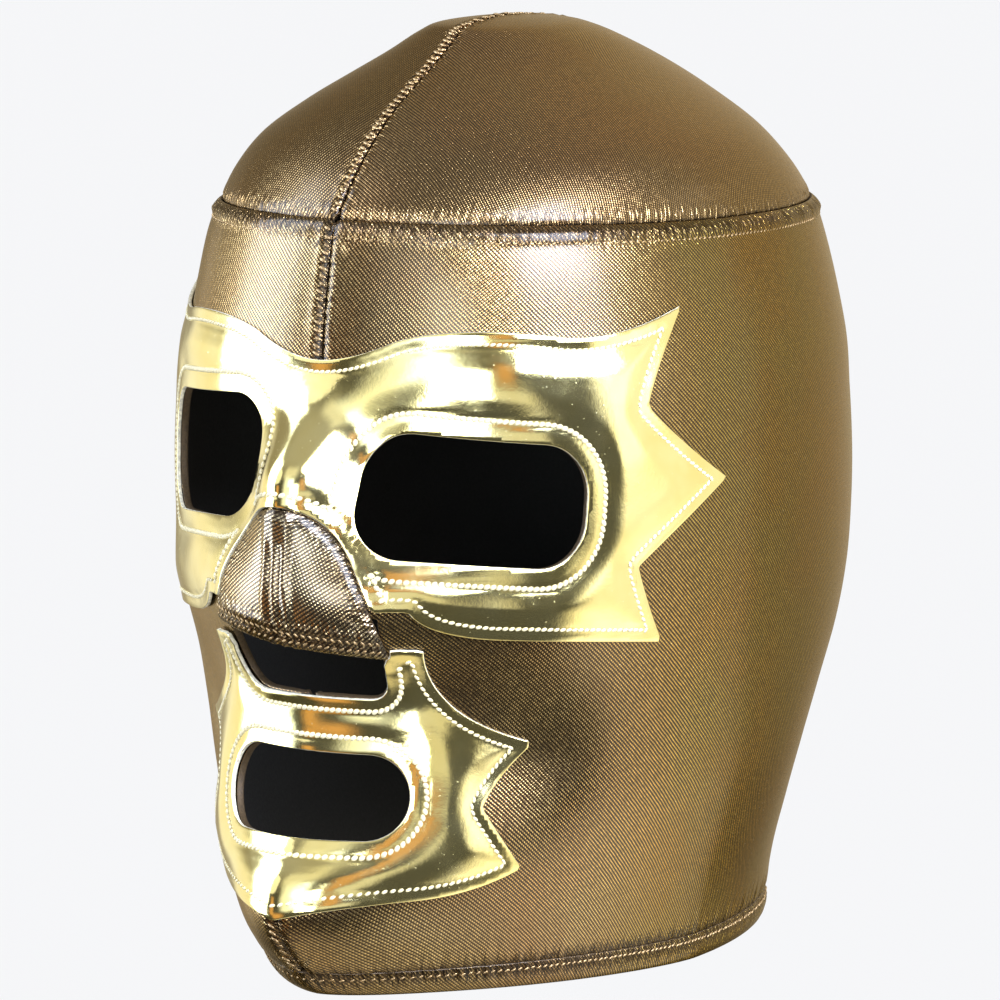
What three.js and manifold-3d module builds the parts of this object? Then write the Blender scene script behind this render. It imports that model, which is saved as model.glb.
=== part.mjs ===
// Full-head wrestling mask of metallic cloth, with mirror-gold vinyl sewn round the eyes and the mouth.
// Millimetres, +Z up. The face looks along -Y and the wearer's left is +X.
// The origin is the inside of the crown, where the mask sits on the top of the head.
import * as THREE from "three";
import { mergeVertices } from "three/addons/utils/BufferGeometryUtils.js";
import Module from "manifold-3d";

const wasm = await Module();
wasm.setup();

// Overall form
const maskTall = 241; // crown top to neck edge
const halfWide = 80; // half the width above the ears
const faceDeep = 88; // upright axis to the front of the cheeks
const backDeep = 122; // upright axis to the back of the head
const clothWall = 2;

// Crown seam: a plane that falls towards the back
const crownTall = 47.6; // crown top to the seam, on the axis
const crownSeamFall = 0.033; // mm down for each mm back
const seamGap = 0.3;
const seamFoldTall = 4.5; // the turned edge of the side panels under the crown seam
const seamFoldWall = 1.1;

// Patterns are drawn flat: across is the way round the head at this radius, down is from the crown top
const patternRadius = 90;

// Eye openings
const eyeAcross = 44;
const eyeDown = 110;
const eyeLong = 59;
const eyeTall = 31;
const eyeTurn = 4.5; // degrees that the outer end hangs down
const eyeRound = 0.8; // corner radius as a share of half the height
const faceSkew = 3.2; // how much lower the eye and nose outlines sit on the wearer's left, and higher on the right

// Nose piece and the breathing hole under its hem
const noseTop = 114.5;
const noseHalfWide = 23;
const noseHemDown = 148.5;
const noseWall = 1.5;
const noseLap = 4; // how far the nose piece laps over the side panels
const noseRise = 18.5; // how far the nose stands out of the face
const pleatCount = 3;
const pleatPitch = 2.8;
const pleatWide = 1.7;
const pleatProud = 0.8;
const breathDown = 163; // lower edge of the breathing hole
const breathHalfWide = 21.5;

// Mouth opening
const mouthDown = 188;
const mouthLong = 54;
const mouthTall = 21;

// Vinyl panels
const vinylWall = 1;
const layGap = 0.3; // between a piece and what it is sewn to
const edgeGap = 0.4; // between two pieces side by side
const browMargin = 24; // vinyl above the eye
const cheekMargin = 22; // vinyl under the eye
const bridgeDip = 9; // how far the middle of the brow dips
const rayReach = 120; // how far round the head the longest ray goes
const rayValley = 92; // how far round the valleys between the rays are
const raySpread = 40; // height between two rays' tips
const lipMargin = 15; // vinyl round the mouth
const lipRayReach = 60;
const lipRaySpread = 30;

// Neck hem and the closure at the back
const hemTall = 7;
const hemProud = 0.5; // how much thicker the folded hem is, on each side
const closureWide = 26;
const closureTall = 125;
const closureWall = 1.5;

const sideTall = maskTall - crownTall;
const topZ = clothWall;
const floorZ = topZ - maskTall;

// Level outlines of the mask. fall: share of the crown's height or the sides' height below the crown top.
// The last row is below the neck edge, where the cloth is cut off level.
// width, front, back: shares of the half width and the two depths.
// bow: roundness of the face's outline, 2 is an ellipse and less is a keel.
const crownLevels = [
  { fall: 0.03, width: 0.172, front: 0.2, back: 0.18, bow: 2 },
  { fall: 0.085, width: 0.252, front: 0.26, back: 0.285, bow: 2 },
  { fall: 0.195, width: 0.348, front: 0.36, back: 0.405, bow: 2 },
  { fall: 0.32, width: 0.468, front: 0.49, back: 0.505, bow: 2 },
  { fall: 0.45, width: 0.595, front: 0.61, back: 0.583, bow: 2 },
  { fall: 0.62, width: 0.74, front: 0.725, back: 0.672, bow: 2 },
  { fall: 0.79, width: 0.822, front: 0.815, back: 0.755, bow: 2 },
  { fall: 0.97, width: 0.867, front: 0.885, back: 0.835, bow: 2 },
];
const sideLevels = [
  { fall: 0.049, width: 0.92, front: 0.922, back: 0.886, bow: 2 },
  { fall: 0.185, width: 0.987, front: 0.965, back: 0.956, bow: 2 },
  { fall: 0.274, width: 0.998, front: 0.988, back: 0.981, bow: 2 },
  { fall: 0.359, width: 1, front: 0.996, back: 0.997, bow: 2 },
  { fall: 0.436, width: 0.99, front: 0.975, back: 1.003, bow: 2 },
  { fall: 0.513, width: 0.977, front: 0.945, back: 0.99, bow: 2 },
  { fall: 0.59, width: 0.958, front: 0.952, back: 0.942, bow: 1.95 },
  { fall: 0.667, width: 0.934, front: 1.006, back: 0.856, bow: 1.85 },
  { fall: 0.744, width: 0.9, front: 1.07, back: 0.785, bow: 1.75 },
  { fall: 0.82, width: 0.845, front: 1.12, back: 0.763, bow: 1.65 },
  { fall: 0.91, width: 0.777, front: 1.09, back: 0.764, bow: 1.57 },
  { fall: 1, width: 0.741, front: 0.945, back: 0.757, bow: 1.5 },
  { fall: 1.04, width: 0.74, front: 0.88, back: 0.755, bow: 1.5 },
];

// Swells and dents of the face, mirrored where they are not on the middle line.
// across, down: centre; wide, above, below: how far it fades to each side, up and down; rise: height.
const swells = [
  { name: "bridge", across: 0, down: noseTop - 6, wide: 11, above: 13, below: 18, rise: noseRise * 0.68 },
  { name: "nose", across: 0, down: noseHemDown - 7.5, wide: noseHalfWide * 1.55, above: 22, below: 20, rise: noseRise },
  { name: "eye socket", across: eyeAcross * 0.8, down: eyeDown, wide: 20, above: eyeTall * 0.5, below: 15, rise: -2 },
  { name: "cheekbone", across: eyeAcross * 1.4, down: eyeDown + 34, wide: 24, above: 14, below: 15, rise: 2.5 },
  { name: "hollow cheek", across: mouthLong + 2, down: mouthDown - 8, wide: 20, above: 16, below: 20, rise: -4 },
  { name: "chin", across: 0, down: mouthDown + 29, wide: 22, above: 12, below: 23, rise: 8 },
];

// Grid over the mask: steps round the front and round the back, and two steps between levels on the face
const frontHalf = 66; // degrees each way from the middle of the face
const frontSteps = 20;
const backSteps = 16;
const faceHigh = 0.25; // share of the sides' height where the eyes and the nose begin
const faceLow = 0.68; // and where the mouth begins

const radians = THREE.MathUtils.degToRad;

// The levels from the crown top down, with a mirrored level above the top so that the crown closes round.
const levels = [
  ...crownLevels.map((row) => ({ ...row, down: row.fall * crownTall })),
  ...sideLevels.map((row) => ({ ...row, down: crownTall + row.fall * sideTall })),
];
const topLevel = { down: 0, width: 0, front: 0, back: 0, bow: levels[0].bow };
const ghostLevel = { ...levels[0], width: -levels[0].width, front: -levels[0].front, back: -levels[0].back };
const lastLevel = levels[levels.length - 1];
const stack = [ghostLevel, topLevel, ...levels, lastLevel];
const levelCount = levels.length;

// A level between two rows of the tables: t is 0 at the crown top and levelCount at the neck edge.
function levelAt(t) {
  const row = Math.min(Math.floor(t), levelCount - 1);
  const share = t - row;
  const [a, b, c, d] = stack.slice(row, row + 4);
  const blend = (key) => {
    const slopeIn = (c[key] - a[key]) / 2;
    const slopeOut = (d[key] - b[key]) / 2;
    const s2 = share * share;
    const s3 = s2 * share;
    return (2 * s3 - 3 * s2 + 1) * b[key] + (s3 - 2 * s2 + share) * slopeIn
      + (3 * s2 - 2 * s3) * c[key] + (s3 - s2) * slopeOut;
  };
  return {
    down: blend("down"),
    width: blend("width") * halfWide,
    front: blend("front") * faceDeep,
    back: blend("back") * backDeep,
    bow: blend("bow"),
  };
}

function fade(distance, reach) {
  return Math.exp(-((distance / reach) ** 2));
}

// How far the face stands out or in at a place of the pattern.
function swellAt(across, down) {
  let sum = 0;
  for (const s of swells) {
    const upright = fade(down - s.down, down < s.down ? s.above : s.below);
    const sideways = s.across === 0
      ? fade(across, s.wide)
      : fade(across - s.across, s.wide) + fade(across + s.across, s.wide);
    sum += s.rise * upright * sideways;
  }
  return sum;
}

// A point of the outer cloth. turn is the angle round the outline in radians, 0 at the middle of the face.
function skinPoint(turn, t) {
  const level = levelAt(t);
  const facing = Math.cos(turn) > 0;
  const power = 2 / (facing ? level.bow : 2);
  const bend = (value) => Math.sign(value) * Math.abs(value) ** power;
  const x = level.width * bend(Math.sin(turn));
  const y = -(facing ? level.front : level.back) * bend(Math.cos(turn));
  const reach = Math.hypot(x, y);
  const across = Math.atan2(x, -y) * patternRadius;
  const swell = reach > 0 ? swellAt(across, level.down) / reach : 0;
  return new THREE.Vector3(x * (1 + swell), y * (1 + swell), topZ - level.down);
}

// The same point lifted off the cloth, or sunk into it.
function liftedPoint(turn, t, lift) {
  const point = skinPoint(turn, t);
  if (t <= 0) return point.setZ(point.z + lift);
  const step = 0.02;
  const round = skinPoint(turn + step, t).sub(skinPoint(turn - step, t));
  const lower = Math.min(t + step, levelCount);
  const upper = Math.max(t - step, 0);
  const along = skinPoint(turn, upper).sub(skinPoint(turn, lower));
  return point.addScaledVector(round.cross(along).normalize(), lift);
}

const turns = [
  ...Array.from({ length: frontSteps }, (_, i) => frontHalf * ((2 * i) / frontSteps - 1)),
  ...Array.from({ length: backSteps }, (_, i) => frontHalf + ((360 - 2 * frontHalf) * i) / backSteps),
].map(radians);
const falls = [0];
for (let i = 1; i <= levelCount; i++) {
  const share = (levels[i - 1].down - crownTall) / sideTall;
  const parts = share > faceHigh && share < faceLow ? 2 : 1;
  for (let k = 1; k <= parts; k++) falls.push(i - 1 + k / parts);
}

function solidOf(vertices, triangles) {
  const geometry = new THREE.BufferGeometry();
  geometry.setAttribute("position", new THREE.Float32BufferAttribute(vertices, 3));
  geometry.setIndex(triangles);
  return solidOfGeometry(geometry);
}

function solidOfGeometry(geometry) {
  const plain = geometry.clone();
  plain.deleteAttribute("normal");
  plain.deleteAttribute("uv");
  const merged = mergeVertices(plain, 1e-4);
  const triVerts = new Uint32Array(merged.index.array);
  return new wasm.Manifold(new wasm.Mesh({ numProp: 3, vertProperties: merged.attributes.position.array, triVerts }));
}

// A whole shell of cloth, or of a layer over it, from one lift to another: closed at the crown, open at the neck.
function shell(innerLift, outerLift, firstFall = 0) {
  const vertices = [];
  const triangles = [];
  const rows = falls.filter((t) => t >= firstFall);
  const across = turns.length;
  const at = (side, row, column) => (side * rows.length + row) * across + (column % across);
  for (const lift of [innerLift, outerLift]) {
    for (const t of rows) {
      for (const turn of turns) vertices.push(...liftedPoint(turn, t, lift));
    }
  }
  const last = rows.length - 1;
  for (let c = 0; c < across; c++) {
    for (let r = 0; r < last; r++) {
      const outer = [at(1, r, c), at(1, r, c + 1), at(1, r + 1, c), at(1, r + 1, c + 1)];
      const inner = [at(0, r, c), at(0, r, c + 1), at(0, r + 1, c), at(0, r + 1, c + 1)];
      if (rows[r] > 0) {
        triangles.push(outer[0], outer[2], outer[1], inner[0], inner[1], inner[2]);
      }
      triangles.push(outer[1], outer[2], outer[3], inner[1], inner[3], inner[2]);
    }
    triangles.push(at(1, last, c), at(0, last, c), at(1, last, c + 1));
    triangles.push(at(0, last, c), at(0, last, c + 1), at(1, last, c + 1));
    if (rows[0] > 0) {
      triangles.push(at(1, 0, c), at(1, 0, c + 1), at(0, 0, c));
      triangles.push(at(0, 0, c), at(1, 0, c + 1), at(0, 0, c + 1));
    }
  }
  return solidOf(vertices, triangles);
}

// A box from its lowest to its highest corner, turned about X by a slope.
function block(low, high, slope = 0) {
  const size = high.clone().sub(low);
  const geometry = new THREE.BoxGeometry(size.x, size.y, size.z);
  const middle = low.clone().add(high).multiplyScalar(0.5);
  geometry.translate(middle.x, middle.y, middle.z);
  geometry.rotateX(-Math.atan(slope));
  return solidOfGeometry(geometry);
}

const far = 2 * maskTall;

// Everything between two heights, measured from the crown seam and sloping with it.
function seamBand(low, high) {
  const band = block(new THREE.Vector3(-far, -far, low), new THREE.Vector3(far, far, high), crownSeamFall);
  return band.translate([0, 0, topZ - crownTall]);
}

function levelBand(low, high) {
  return block(new THREE.Vector3(-far, -far, low), new THREE.Vector3(far, far, high));
}

// One side of the middle seam: +1 is the wearer's left.
function half(side) {
  const near = seamGap / 2;
  return side > 0
    ? block(new THREE.Vector3(near, -far, -far), new THREE.Vector3(far, far, far))
    : block(new THREE.Vector3(-far, -far, -far), new THREE.Vector3(-near, far, far));
}

// Points along a flat outline: close together on its curves, far apart on its straight lines.
const curveStep = 8;
const lineStep = 24;

function outlinePoints(path) {
  return path.curves.flatMap((curve) => {
    const step = curve.isLineCurve ? lineStep : curveStep;
    const count = Math.max(1, Math.ceil(curve.getLength() / step));
    return curve.getSpacedPoints(count).slice(0, -1);
  });
}

// The place on the outer cloth of a point drawn on the flat pattern.
function onCloth(across, down) {
  let low = 0;
  let high = levelCount;
  while (high - low > 1e-6) {
    const middle = (low + high) / 2;
    if (levelAt(middle).down < down) low = middle;
    else high = middle;
  }
  const level = levelAt(low);
  const angle = across / patternRadius;
  const facing = Math.cos(angle) > 0;
  const root = (facing ? level.bow : 2) / 2;
  const unbend = (value, size) => Math.sign(value) * (Math.abs(value) / size) ** root;
  const turn = Math.atan2(
    unbend(Math.sin(angle), level.width),
    unbend(Math.cos(angle), facing ? level.front : level.back),
  );
  return skinPoint(turn, low);
}

// The space that a flat outline takes when it shines out of a point on the upright axis, level with its middle.
// x of a point of the path is across, y is down.
const beamNear = 0.15;
const beamFar = 8;

function beam(path) {
  const drawn = outlinePoints(path);
  const points = THREE.ShapeUtils.isClockWise(drawn) ? drawn : drawn.slice().reverse();
  const faces = THREE.ShapeUtils.triangulateShape(points, []);
  const box = new THREE.Box2().setFromPoints(points);
  const lamp = new THREE.Vector3(0, 0, topZ - (box.min.y + box.max.y) / 2);
  const rays = points.map((p) => onCloth(p.x, p.y).sub(lamp));
  const count = points.length;
  const vertices = [];
  for (const reach of [beamNear, beamFar]) {
    for (const ray of rays) vertices.push(...lamp.clone().addScaledVector(ray, reach));
  }
  const triangles = [];
  for (const [a, b, c] of faces) {
    triangles.push(a, b, c, a + count, c + count, b + count);
  }
  for (let i = 0; i < count; i++) {
    const j = (i + 1) % count;
    triangles.push(i, j, j + count, i, j + count, i + count);
  }
  return solidOf(vertices, triangles);
}

function mirroredPath(draw) {
  return [draw(1), draw(-1)];
}

// An opening with rounded corners, turned so that its outer end hangs down. round is 1 for half-circle ends.
function slotPath(across, down, long, tall, turnDegrees, round, side = 1) {
  const path = new THREE.Path();
  const angle = radians(turnDegrees) * side;
  const radius = (tall / 2) * round;
  const middle = new THREE.Vector2(across * side, down);
  for (const [quarter, right, low] of [[0, 1, 1], [1, -1, 1], [2, -1, -1], [3, 1, -1]]) {
    const corner = new THREE.Vector2(right * (long / 2 - radius), low * (tall / 2 - radius));
    corner.rotateAround(new THREE.Vector2(), angle).add(middle);
    const start = angle + (quarter * Math.PI) / 2;
    path.absarc(corner.x, corner.y, radius, start, start + Math.PI / 2, false);
  }
  path.closePath();
  return path;
}

const eyePath = (side) => slotPath(eyeAcross, eyeDown + faceSkew * side, eyeLong, eyeTall, eyeTurn, eyeRound, side);
const mouthPath = slotPath(0, mouthDown, mouthLong, mouthTall, 0, 1);

// The nose piece: an arch over a slanting hem. grow moves its sides, top and hem outwards.
function nosePath(grow, hemGrow = grow) {
  const wide = noseHalfWide + grow;
  const top = noseTop - grow;
  const left = noseHemDown + faceSkew + hemGrow;
  const right = noseHemDown - faceSkew + hemGrow;
  const shoulder = noseHemDown - (noseHemDown - noseTop) * 0.41;
  const path = new THREE.Path();
  path.moveTo(-wide, right);
  path.bezierCurveTo(-wide * 0.9, shoulder - faceSkew, -wide * 0.5, top, 0, top);
  path.bezierCurveTo(wide * 0.5, top, wide * 0.9, shoulder + faceSkew, wide, left);
  path.closePath();
  return path;
}

// The breathing hole: from behind the hem down to a rounded lower edge.
function breathPath() {
  const high = noseHemDown - faceSkew - noseLap;
  const leftCorner = 5;
  const rightCorner = 9;
  const path = new THREE.Path();
  path.moveTo(-breathHalfWide, high);
  path.lineTo(breathHalfWide, high);
  path.lineTo(breathHalfWide, breathDown - leftCorner);
  path.quadraticCurveTo(breathHalfWide, breathDown, breathHalfWide - leftCorner, breathDown);
  path.lineTo(-breathHalfWide + rightCorner, breathDown);
  path.quadraticCurveTo(-breathHalfWide, breathDown, -breathHalfWide, breathDown - rightCorner);
  path.closePath();
  return path;
}

// Draws the wearer's-left half of an outline that starts and ends on the middle line, and then its mirror image.
function mirroredOutline(start, strokes) {
  const path = new THREE.Path();
  path.moveTo(...start);
  const ends = [start];
  for (const s of strokes) {
    if (s.bend) path.quadraticCurveTo(...s.bend, ...s.to);
    else path.lineTo(...s.to);
    ends.push(s.to);
  }
  const flip = ([across, down]) => [-across, down];
  for (let i = strokes.length - 1; i >= 0; i--) {
    const to = flip(ends[i]);
    if (strokes[i].bend) path.quadraticCurveTo(...flip(strokes[i].bend), ...to);
    else path.lineTo(...to);
  }
  return path;
}

// Three rays fan out beside each eye, between an arched brow and the cheek.
function eyePanelPath() {
  const brow = eyeDown - eyeTall / 2 - browMargin;
  const cheek = eyeDown + eyeTall / 2 + cheekMargin;
  const eyeEnd = eyeAcross + eyeLong / 2;
  const middle = eyeDown + 1;
  const noseSide = noseHemDown - 9;
  return mirroredOutline([0, brow + bridgeDip], [
    { bend: [9, brow + bridgeDip], to: [eyeAcross - 22, brow + bridgeDip * 0.4] },
    { bend: [eyeAcross - 8, brow - 1], to: [eyeAcross + 20, brow + 2] },
    { bend: [eyeEnd + 6, brow + 5], to: [rayReach - 14, middle - raySpread - 4] },
    { bend: [rayValley + 3, middle - raySpread * 0.75], to: [rayValley, middle - raySpread / 2] },
    { bend: [rayValley + 12, middle - raySpread * 0.22], to: [rayReach, middle] },
    { bend: [rayValley + 12, middle + raySpread * 0.22], to: [rayValley - 3, middle + raySpread / 2] },
    { bend: [rayValley, middle + raySpread * 0.75], to: [rayReach - 22, middle + raySpread] },
    { bend: [eyeEnd - 2, cheek + 1], to: [eyeAcross + 8, cheek] },
    { bend: [eyeAcross - 12, cheek - 1], to: [noseHalfWide + 5, noseSide] },
    { to: [0, noseSide] },
  ]);
}

// The mouth panel: it holds the breathing hole, with two rays at each side and a shallow point at the chin.
function mouthPanelPath() {
  const top = noseHemDown + 1;
  const chin = mouthDown + mouthTall / 2 + lipMargin;
  const rayHigh = mouthDown - lipRaySpread / 2 + 2;
  const rayLow = mouthDown + lipRaySpread / 2 + 4;
  const side = mouthLong / 2 + lipMargin;
  return mirroredOutline([0, top], [
    { to: [noseHalfWide + 8, top] },
    { bend: [noseHalfWide + 7, mouthDown - 20], to: [lipRayReach, rayHigh] },
    { bend: [side + 6, mouthDown - 4], to: [side + 3, mouthDown + 3] },
    { bend: [side + 6, mouthDown + 8], to: [lipRayReach - 4, rayLow] },
    { bend: [side - 2, chin], to: [side - 17, chin] },
    { bend: [8, chin + 1], to: [0, chin + 4] },
  ]);
}

function buildCloth() {
  const cloth = shell(-clothWall, 0);
  const foldLayer = shell(-clothWall, seamFoldWall).intersect(seamBand(-seamFoldTall, -seamGap / 2));
  const underCrown = seamBand(-far, -seamGap / 2);
  const overHem = levelBand(floorZ + hemTall + seamGap / 2, far);
  const noseWindow = beam(nosePath(-noseLap, 0)).add(beam(breathPath()));
  let sides = cloth.intersect(underCrown).intersect(overHem).add(foldLayer).subtract(noseWindow);
  sides = sides.subtract(beam(mouthPath));
  for (const opening of mirroredPath(eyePath)) sides = sides.subtract(beam(opening));
  const crown = cloth.intersect(seamBand(seamGap / 2, far));
  return { crown, sides };
}

function buildNose() {
  const base = shell(layGap, layGap + noseWall, crownLevels.length);
  const outline = beam(nosePath(0, 0));
  let nose = base.intersect(outline);
  const proud = shell(layGap + noseWall / 2, layGap + noseWall + pleatProud, crownLevels.length);
  for (let i = 0; i < pleatCount; i++) {
    const across = (i - (pleatCount - 1) / 2) * pleatPitch;
    const pleat = new THREE.Path();
    pleat.moveTo(across * 0.6 - pleatWide / 2, noseTop + 3);
    pleat.lineTo(across * 0.6 + pleatWide / 2, noseTop + 3);
    pleat.lineTo(across + pleatWide / 2, noseHemDown + faceSkew);
    pleat.lineTo(across - pleatWide / 2, noseHemDown + faceSkew);
    pleat.closePath();
    nose = nose.add(proud.intersect(outline).intersect(beam(pleat)));
  }
  return nose;
}

function buildVinyl() {
  const layer = shell(layGap, layGap + vinylWall, crownLevels.length);
  const noseRoom = beam(nosePath(edgeGap));
  let eyes = layer.intersect(beam(eyePanelPath())).subtract(noseRoom);
  for (const opening of mirroredPath(eyePath)) eyes = eyes.subtract(beam(opening));
  let mouth = layer.intersect(beam(mouthPanelPath())).subtract(noseRoom);
  mouth = mouth.subtract(beam(breathPath())).subtract(beam(mouthPath));
  return { eyes, mouth };
}

function buildHem() {
  const ring = shell(-clothWall - hemProud, hemProud, levelCount - 4);
  const slit = block(new THREE.Vector3(-seamGap / 2, 0, -far), new THREE.Vector3(seamGap / 2, far, far));
  return ring.intersect(levelBand(floorZ, floorZ + hemTall - seamGap / 2)).subtract(slit);
}

// A plain flap that laps over the slit at the back, from just above the hem.
function buildClosure() {
  const halfTurn = Math.PI * patternRadius;
  const low = maskTall - hemTall - 1;
  const path = new THREE.Path();
  path.moveTo(halfTurn - closureWide / 2, low);
  path.lineTo(halfTurn + closureWide / 2, low);
  path.lineTo(halfTurn + closureWide / 2, low - closureTall + closureWide / 2);
  path.absarc(halfTurn, low - closureTall + closureWide / 2, closureWide / 2, 0, -Math.PI, true);
  path.closePath();
  return shell(layGap, layGap + closureWall, crownLevels.length).intersect(beam(path));
}

// Colours and finishes seen on the real mask
const lame = new THREE.MeshStandardMaterial({ color: 0x8a7142, roughness: 0.42, metalness: 0.75 });
const vinyl = new THREE.MeshStandardMaterial({ color: 0xe3c468, roughness: 0.12, metalness: 1 });

function meshOf(name, solid, material) {
  const { numProp, vertProperties, triVerts } = solid.getMesh();
  const count = vertProperties.length / numProp;
  const positions = new Float32Array(count * 3);
  for (let i = 0; i < count; i++) {
    positions.set(vertProperties.subarray(i * numProp, i * numProp + 3), i * 3);
  }
  const geometry = new THREE.BufferGeometry();
  geometry.setAttribute("position", new THREE.BufferAttribute(positions, 3));
  geometry.setIndex(new THREE.BufferAttribute(triVerts, 1));
  const mesh = new THREE.Mesh(geometry, material);
  mesh.name = name;
  return mesh;
}

const { crown, sides } = buildCloth();
const { eyes, mouth } = buildVinyl();
const mask = new THREE.Group();
for (const [side, word] of [[1, "left"], [-1, "right"]]) {
  mask.add(meshOf(`crown_${word}`, crown.intersect(half(side)), lame));
  mask.add(meshOf(`side_${word}`, sides.intersect(half(side)), lame));
}
mask.add(meshOf("nose_cover", buildNose(), lame));
mask.add(meshOf("eye_panel", eyes, vinyl));
mask.add(meshOf("mouth_panel", mouth, vinyl));
mask.add(meshOf("neck_hem", buildHem(), lame));
mask.add(meshOf("back_closure", buildClosure(), lame));

export default mask;
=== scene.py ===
# Full-head wrestling mask of bronze lamé, with mirror-gold vinyl sewn round the eyes and the mouth.
# Patterns are drawn flat in millimetres and laid on the form of the head; objects are in metres.
import math

import bmesh
import bpy
import numpy as np
from mathutils import Matrix, Vector


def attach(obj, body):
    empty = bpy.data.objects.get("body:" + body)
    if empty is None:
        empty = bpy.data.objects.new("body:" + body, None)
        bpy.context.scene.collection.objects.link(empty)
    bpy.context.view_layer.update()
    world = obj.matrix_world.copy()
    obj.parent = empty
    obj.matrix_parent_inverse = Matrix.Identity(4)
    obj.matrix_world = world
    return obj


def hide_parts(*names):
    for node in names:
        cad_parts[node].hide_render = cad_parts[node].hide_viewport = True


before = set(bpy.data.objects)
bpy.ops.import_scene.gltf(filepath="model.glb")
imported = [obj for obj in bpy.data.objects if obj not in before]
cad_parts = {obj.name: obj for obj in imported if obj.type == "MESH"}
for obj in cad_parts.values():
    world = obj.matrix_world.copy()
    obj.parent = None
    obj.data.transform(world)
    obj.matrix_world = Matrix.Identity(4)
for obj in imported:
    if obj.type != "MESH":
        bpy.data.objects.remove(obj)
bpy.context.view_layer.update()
print("frame loaded")

millimetre = 0.001

camera = {
    "azimuth": 32.0,  # degrees from the middle of the face towards the wearer's left
    "elevation": 9.0,
    "distance": 1.8,
    "target": (0, 0, -0.1241),
    "lens": 249.5,
    "sensorWide": 36,
    "clipEnd": 100,
}


def directionOf(azimuth, elevation):
    a, e = math.radians(azimuth), math.radians(elevation)
    return Vector((math.sin(a) * math.cos(e), -math.cos(a) * math.cos(e), math.sin(e)))


def addCamera():
    data = bpy.data.cameras.new("camera")
    data.lens = camera["lens"]
    data.sensor_width = camera["sensorWide"]
    data.clip_end = camera["clipEnd"]
    eye = bpy.data.objects.new("camera", data)
    back = directionOf(camera["azimuth"], camera["elevation"])
    eye.location = Vector(camera["target"]) + back * camera["distance"]
    eye.rotation_euler = back.to_track_quat("Z", "Y").to_euler()
    bpy.context.collection.objects.link(eye)
    bpy.context.scene.camera = eye


addCamera()
bpy.context.scene.view_settings.view_transform = "Standard"

# The form of the head, in millimetres
form = {
    "maskTall": 241.0,
    "halfWide": 80.0,
    "faceDeep": 88.0,
    "backDeep": 122.0,
    "clothWall": 2.0,
    "crownTall": 47.6,
    "crownSeamFall": 0.033,  # mm down for each mm back
    "seamLap": 0.06,  # sewn edges run past their seam by this, so that no light comes through
    "patternRadius": 90.0,  # across is the way round the head at this radius
    "layGap": 0.3,
    "edgeGap": 0.4,
}
# fall, width, front, back, bow: shares of the heights, of the half width and of the two depths
crownLevels = [
    (0.03, 0.172, 0.2, 0.18, 2),
    (0.085, 0.252, 0.26, 0.285, 2),
    (0.195, 0.348, 0.36, 0.405, 2),
    (0.32, 0.468, 0.49, 0.505, 2),
    (0.45, 0.595, 0.61, 0.583, 2),
    (0.62, 0.74, 0.725, 0.672, 2),
    (0.79, 0.822, 0.815, 0.755, 2),
    (0.97, 0.867, 0.885, 0.835, 2),
]
sideLevels = [
    (0.049, 0.92, 0.922, 0.886, 2),
    (0.185, 0.987, 0.965, 0.956, 2),
    (0.274, 0.998, 0.988, 0.981, 2),
    (0.359, 1, 0.996, 0.997, 2),
    (0.436, 0.99, 0.975, 1.003, 2),
    (0.513, 0.977, 0.945, 0.99, 2),
    (0.59, 0.958, 0.952, 0.942, 1.95),
    (0.667, 0.934, 1.006, 0.856, 1.85),
    (0.744, 0.9, 1.07, 0.785, 1.75),
    (0.82, 0.845, 1.12, 0.763, 1.65),
    (0.91, 0.777, 1.09, 0.764, 1.57),
    (1, 0.741, 0.945, 0.757, 1.5),
    (1.04, 0.74, 0.88, 0.755, 1.5),
]
eye = {"across": 44, "down": 110, "long": 59, "tall": 31, "turn": 4.5, "round": 0.8, "skew": 3.2}
nose = {
    "top": 114.5, "halfWide": 23, "hemDown": 148.5, "wall": 1.5, "lap": 4, "rise": 18.5,
    "topRound": 0.5, "shoulderWide": 0.9, "shoulderUp": 0.41,  # shares of its half width and of its height
}
breath = {"down": 163, "halfWide": 21.5, "leftCorner": 5, "rightCorner": 9}
mouth = {"down": 188, "long": 54, "tall": 21}
# across, down, wide, above, below, rise
swells = [
    (0, nose["top"] - 6, 11, 13, 18, nose["rise"] * 0.68),  # bridge
    (0, nose["hemDown"] - 7.5, nose["halfWide"] * 1.55, 22, 20, nose["rise"]),  # nose
    (eye["across"] * 0.8, eye["down"], 20, eye["tall"] * 0.5, 15, -2),  # eye socket
    (eye["across"] * 1.4, eye["down"] + 34, 24, 14, 15, 2.5),  # cheekbone
    (mouth["long"] + 2, mouth["down"] - 8, 20, 16, 20, -4),  # hollow cheek
    (0, mouth["down"] + 29, 22, 12, 23, 8),  # chin
]

sideTall = form["maskTall"] - form["crownTall"]
topZ = form["clothWall"]
floorZ = topZ - form["maskTall"]
halfRound = math.pi * form["patternRadius"]

levelRows = [[fall * form["crownTall"], w, f, b, bow] for fall, w, f, b, bow in crownLevels]
levelRows += [[form["crownTall"] + fall * sideTall, w, f, b, bow] for fall, w, f, b, bow in sideLevels]
first = levelRows[0]
levelStack = np.array(
    [[first[0], -first[1], -first[2], -first[3], 2], [0, 0, 0, 0, 2], *levelRows, levelRows[-1]], float
)
levelCount = len(levelRows)


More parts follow.
